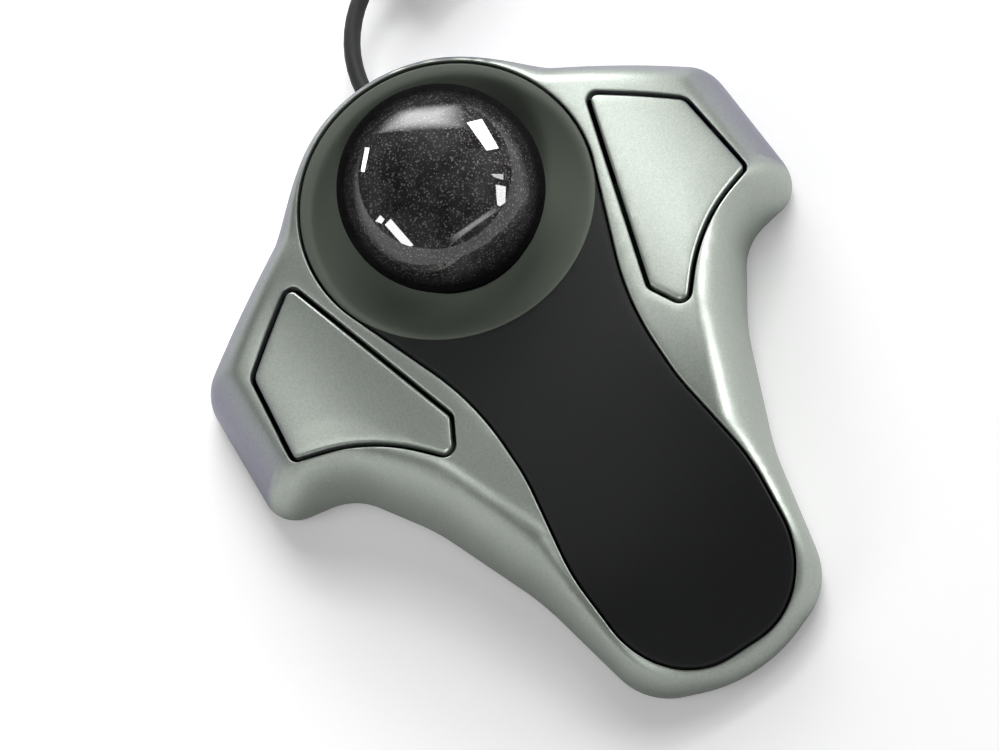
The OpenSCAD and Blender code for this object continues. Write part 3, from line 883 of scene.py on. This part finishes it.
def camera_axes():
    """The camera's right, up and back directions."""
    ca, sa = math.cos(CAM_TURN), math.sin(CAM_TURN)
    back = Vector((sa * math.cos(CAM_LIFT), -ca * math.cos(CAM_LIFT), math.sin(CAM_LIFT)))
    level = Vector((ca, sa, 0))
    upright = back.cross(level)
    turn = CAM_ROLL - math.atan2(upright.x, level.x)
    right = level * math.cos(turn) - upright * math.sin(turn)
    up = level * math.sin(turn) + upright * math.cos(turn)
    return right, up, back


def camera():
    right, up, back = camera_axes()
    data = bpy.data.cameras.new("camera")
    data.sensor_width = CAM_SENSOR
    data.lens = CAM_LENS
    data.clip_end = 20
    cam = bpy.data.objects.new("camera", data)
    ball_at = Vector((0, 0, BALL_Z * MM))
    place = ball_at + back * CAM_FAR - right * BALL_RIGHT * MM - up * BALL_UP * MM
    turn = Matrix((right, up, back)).transposed().to_4x4()
    cam.matrix_world = Matrix.Translation(place) @ turn
    bpy.context.scene.collection.objects.link(cam)
    bpy.context.scene.camera = cam


def seen_from_ball(u, v):
    """The direction that the ball mirrors to the camera at (u, v) on its disc, in radii."""
    right, up, back = camera_axes()
    n = right * u + up * v + back * math.sqrt(max(0.0, 1 - u * u - v * v))
    return n * (2 * n.dot(back)) - back


def card(name, corners, glow, lit, soft=0.0, far=CARD_FAR):
    """A glowing reflector, curved round the ball, that lights one collection, or everything
    where lit is None. corners says where the ball mirrors it: four (u, v) places round its
    edge. soft is the part of its half width that fades out."""
    rows = 12
    a, b, c, d = (Vector(p) for p in corners)
    centre = Vector((0, 0, BALL_Z * MM))
    points, fade = [], []
    for j in range(rows + 1):
        for i in range(rows + 1):
            s, t = i / rows, j / rows
            p = a.lerp(b, s).lerp(d.lerp(c, s), t)
            points.append(centre + seen_from_ball(*p) * far)
            inset = min(s, 1 - s, t, 1 - t) * 2
            fade.append(min(1, inset / soft) if soft else 1)
    faces = [(k, k + 1, k + rows + 2, k + rows + 1)
             for j in range(rows) for k in range(j * (rows + 1), j * (rows + 1) + rows)]
    mesh = bpy.data.meshes.new(name)
    mesh.from_pydata(points, [], faces)
    mesh.attributes.new("fade", "FLOAT", "POINT").data.foreach_set("value", fade)
    m = bpy.data.materials.new(name)
    m.use_nodes = True
    tree = m.node_tree
    tree.nodes.clear()
    shine = tree.nodes.new("ShaderNodeEmission")
    level = tree.nodes.new("ShaderNodeMath")
    level.operation = "MULTIPLY"
    level.inputs[1].default_value = glow
    kept = tree.nodes.new("ShaderNodeAttribute")
    kept.attribute_name = "fade"
    tree.links.new(kept.outputs["Fac"], level.inputs[0])
    tree.links.new(level.outputs["Value"], shine.inputs["Strength"])
    tree.links.new(shine.outputs["Emission"],
                   tree.nodes.new("ShaderNodeOutputMaterial").inputs["Surface"])
    mesh.materials.append(m)
    obj = bpy.data.objects.new(name, mesh)
    bpy.context.scene.collection.objects.link(obj)
    if lit:
        obj.light_linking.receiver_collection = lit
    obj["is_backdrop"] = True


def bounce(name, place, aim, size, watts, spread, lit):
    """A near rectangular light at place, turned towards aim, both in millimetres. size is in
    metres, and spread is the angle of its beam in degrees."""
    data = bpy.data.lights.new(name, "AREA")
    data.shape = "RECTANGLE"
    data.size, data.size_y = size
    data.energy = watts
    data.spread = math.radians(spread)
    lamp = bpy.data.objects.new(name, data)
    place, aim = Vector(place) * MM, Vector(aim) * MM
    turn = (place - aim).to_track_quat("Z", "Y").to_matrix().to_4x4()
    lamp.matrix_world = Matrix.Translation(place) @ turn
    bpy.context.scene.collection.objects.link(lamp)
    lamp.light_linking.receiver_collection = lit


def floor_sun(strength):
    """A soft sun from the rear right that falls on the floor alone."""
    towards_sun = Vector((0.35, 0.50, 0.79))
    data = bpy.data.lights.new("floor_sun", "SUN")
    data.energy = strength
    data.angle = math.radians(26)
    sun = bpy.data.objects.new("floor_sun", data)
    sun.rotation_euler = towards_sun.to_track_quat("Z", "Y").to_euler()
    bpy.context.scene.collection.objects.link(sun)
    sun.light_linking.receiver_collection = group("on_floor", [floor])


def group(name, objects):
    """A collection that says what a light falls on."""
    lit = bpy.data.collections.new(name)
    for obj in objects:
        lit.objects.link(obj)
    return lit


def world(strength):
    w = bpy.data.worlds.new("studio")
    bpy.context.scene.world = w
    w.use_nodes = True
    w.node_tree.nodes["Background"].inputs["Color"].default_value = (1, 1, 1, 1)
    w.node_tree.nodes["Background"].inputs["Strength"].default_value = strength


floor = stage_floor()
camera()
world(0.06)

body_pieces = [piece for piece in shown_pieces() if piece is not trackball]
on_ball = group("on_ball", [trackball])
on_body = group("on_body", [floor, *body_pieces])
on_shell = group("on_shell", body_pieces)

# what the ball mirrors
for name, corners, glow, soft in (
        ("ball_window", [(0.24, 0.60), (0.375, 0.645), (0.54, 0.37), (0.43, 0.34)], 20, 0),
        ("ball_band", [(0.42, 0.72), (0.50, 0.70), (0.72, 0.43), (0.65, 0.41)], 2.5, 0.5),
        ("ball_chip", [(0.47, 0.12), (0.59, 0.125), (0.59, 0.07), (0.51, 0.09)], 7, 0),
        ("ball_panel", [(0.52, 0.02), (0.615, 0.01), (0.615, -0.14), (0.54, -0.20)], 11, 0),
        ("ball_streak", [(0.54, -0.17), (0.60, -0.19), (0.09, -0.56), (0.06, -0.50)], 3, 0.6),
        ("ball_tube", [(-0.70, 0.39), (-0.66, 0.38), (-0.71, 0.155), (-0.745, 0.165)], 25, 0),
        ("ball_corner", [(-0.53, -0.35), (-0.47, -0.30), (-0.26, -0.55), (-0.33, -0.585)], 12, 0),
        ("ball_hook", [(-0.62, -0.31), (-0.57, -0.26), (-0.53, -0.30), (-0.56, -0.34)], 12, 0)):
    card(name, corners, glow, on_ball, soft)

# what shades the body, further off so that it hides none of the cards above
for name, corners, glow, soft in (
        ("high_card", [(-0.12, 0.35), (0.20, 0.38), (0.20, 0.50), (-0.12, 0.47)], 6.0, 0.7),
        ("body_window", [(0.10, 0.66), (0.30, 0.70), (0.54, 0.37), (0.33, 0.30)], 2.0, 0.5),
        ("right_wall", [(0.42, 0.55), (0.75, 0.50), (0.85, 0.00), (0.50, 0.05)], 1.6, 0.6),
        ("left_wall", [(-0.58, 0.15), (-0.34, 0.20), (-0.25, -0.20), (-0.55, -0.25)], 2.5, 0.6),
        ("tail_wall", [(-0.10, -0.20), (0.40, -0.15), (0.35, -0.55), (-0.05, -0.60)], 0.3, 0.6)):
    card(name, corners, glow, on_body, soft, BODY_CARD_FAR)

card("softbox", [(-0.62, 0.50), (0.26, 0.54), (0.20, 0.80), (-0.50, 0.74)], 7, None,
     soft=0.7, far=SOFTBOX_FAR)

bounce("right_bounce", (200, -130, 70), (38, -86, 8), (0.16, 0.12), 0.022, 40, on_shell)
bounce("wing_bounce", (-120, -180, 70), (-45, -34, 12), (0.14, 0.10), 0.006, 40, on_shell)
bounce("dish_bounce", (-60, -150, 200), (0, -22, 25), (0.06, 0.06), 0.006, 18, on_shell)
floor_sun(2.5)
bpy.context.scene.view_settings.view_transform = "Standard"

bpy.context.view_layer.update()
